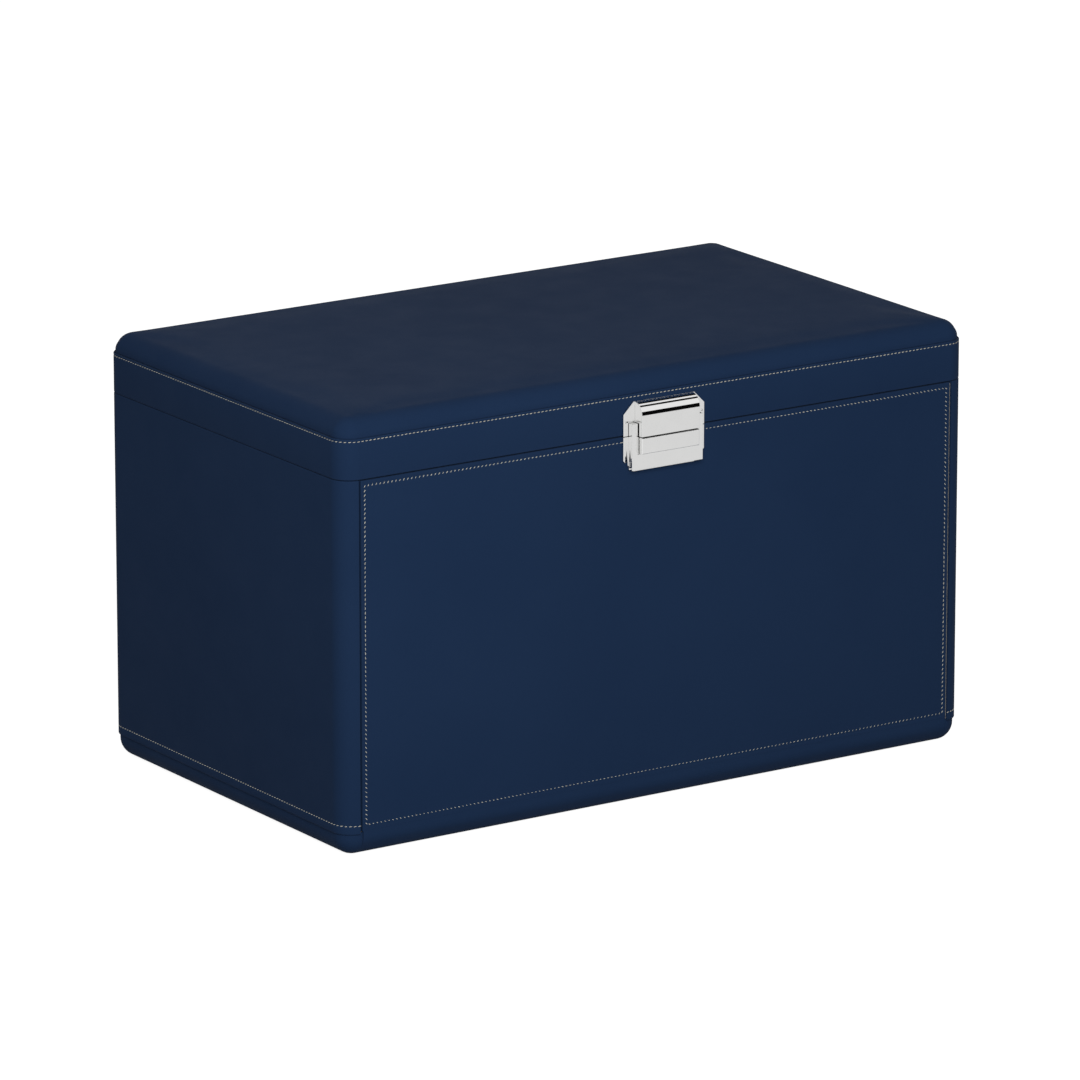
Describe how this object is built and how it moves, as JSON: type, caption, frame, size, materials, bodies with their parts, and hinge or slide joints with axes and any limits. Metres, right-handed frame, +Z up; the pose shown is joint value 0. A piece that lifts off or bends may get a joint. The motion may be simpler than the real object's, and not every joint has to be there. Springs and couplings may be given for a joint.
{
  "type": "drop-front jewellery case",
  "caption": "Navy leather jewellery case with a hinged lid, a drop front held by a push-bar clasp, lined drawers and a divided tray under the lid.",
  "frame": {"origin": "middle of the base, on the plane the case rests on", "axes": "+Z up, the front with the clasp faces -Y, +X to the right seen from behind the back, the width runs along X"},
  "size_m": [0.38, 0.2384, 0.225],
  "materials": {
    "leather": "smooth navy calf leather with a fine grain, stitched in pale thread",
    "board": "raw fibreboard",
    "felt": "dark navy felt",
    "suede": "soft light grey suede cloth",
    "frame_leather": "thin navy leather over card",
    "foam": "soft foam",
    "mirror": "silvered glass",
    "hinge_steel": "plated steel",
    "clasp_chrome": "polished plate",
    "hook_steel": "plain steel",
    "screw_steel": "plain steel",
    "spring_steel": "drawn wire",
    "pull_chrome": "polished plate"
  },
  "bodies": {
    "case": {"base_felt": "felt", "base_board": "board", "base_leather": "leather", "left_side_board": "board", "right_side_board": "board", "back_board": "board", "body_leather": "leather", "interior_lining": "suede", "cubby_pad": "suede", "lower_shelf": "suede", "upper_shelf": "suede", "tray_deck": "suede", "tray_front_board": "suede", "tray_pad": "suede", "long_divider": "suede", "cross_divider": "suede", "short_divider": "suede", "ring_rolls": "suede", "hinge_body_leaves": "hinge_steel", "hinge_pins": "hinge_steel", "hinge_leather": "leather"},
    "lid": {"lid_left_rail": "board", "lid_right_rail": "board", "lid_back_rail": "board", "lid_front_rail": "board", "lid_band_leather": "leather", "lid_top_board": "board", "lid_padding": "foam", "lid_cap_leather": "leather", "lid_lining": "suede", "mirror": "mirror", "mirror_frame": "frame_leather", "hinge_lid_leaves": "hinge_steel", "head_plate": "clasp_chrome", "clasp_head": "clasp_chrome", "clasp_striker": "hook_steel", "head_screws": "screw_steel"},
    "flap": {"flap_board": "board", "flap_leather": "leather", "flap_lining": "suede", "clasp_plate": "clasp_chrome", "clasp_frame": "clasp_chrome", "plate_screws": "screw_steel", "push_bar_springs": "spring_steel"},
    "push_bar": {"push_bar": "clasp_chrome"},
    "lower_drawer": {"lower_drawer_front": "suede", "lower_drawer_box": "suede", "lower_drawer_pad": "suede", "lower_drawer_dividers": "suede", "lower_drawer_pulls": "pull_chrome"},
    "upper_drawer": {"upper_drawer_front": "suede", "upper_drawer_box": "suede", "upper_drawer_pad": "suede", "upper_drawer_dividers": "suede", "upper_drawer_pulls": "pull_chrome"}
  },
  "joints": [
    {"name": "lid_hinge", "type": "hinge", "parent": "case", "child": "lid", "pos_m": [0, 0.1154, 0.1937], "axis": [-1, 0, 0], "range_deg": [0, 100]},
    {"name": "flap_hinge", "type": "hinge", "parent": "case", "child": "flap", "pos_m": [0, -0.1125, 0.013], "axis": [1, 0, 0], "range_deg": [0, 90]},
    {"name": "push_bar_slide", "type": "slide", "parent": "flap", "child": "push_bar", "axis": [0, 1, 0], "range_m": [0, 0.0014], "stiffness_N_per_m": 800, "springref_m": -0.0005},
    {"name": "lower_drawer_slide", "type": "slide", "parent": "case", "child": "lower_drawer", "axis": [0, -1, 0], "range_m": [0, 0.098]},
    {"name": "upper_drawer_slide", "type": "slide", "parent": "case", "child": "upper_drawer", "axis": [0, -1, 0], "range_m": [0, 0.15]}
  ],
  "couplings": [
    {"joint": "lower_drawer_slide", "follows": "flap_hinge", "m_per_rad": 0.062},
    {"joint": "upper_drawer_slide", "follows": "flap_hinge", "m_per_rad": 0.095}
  ]
}
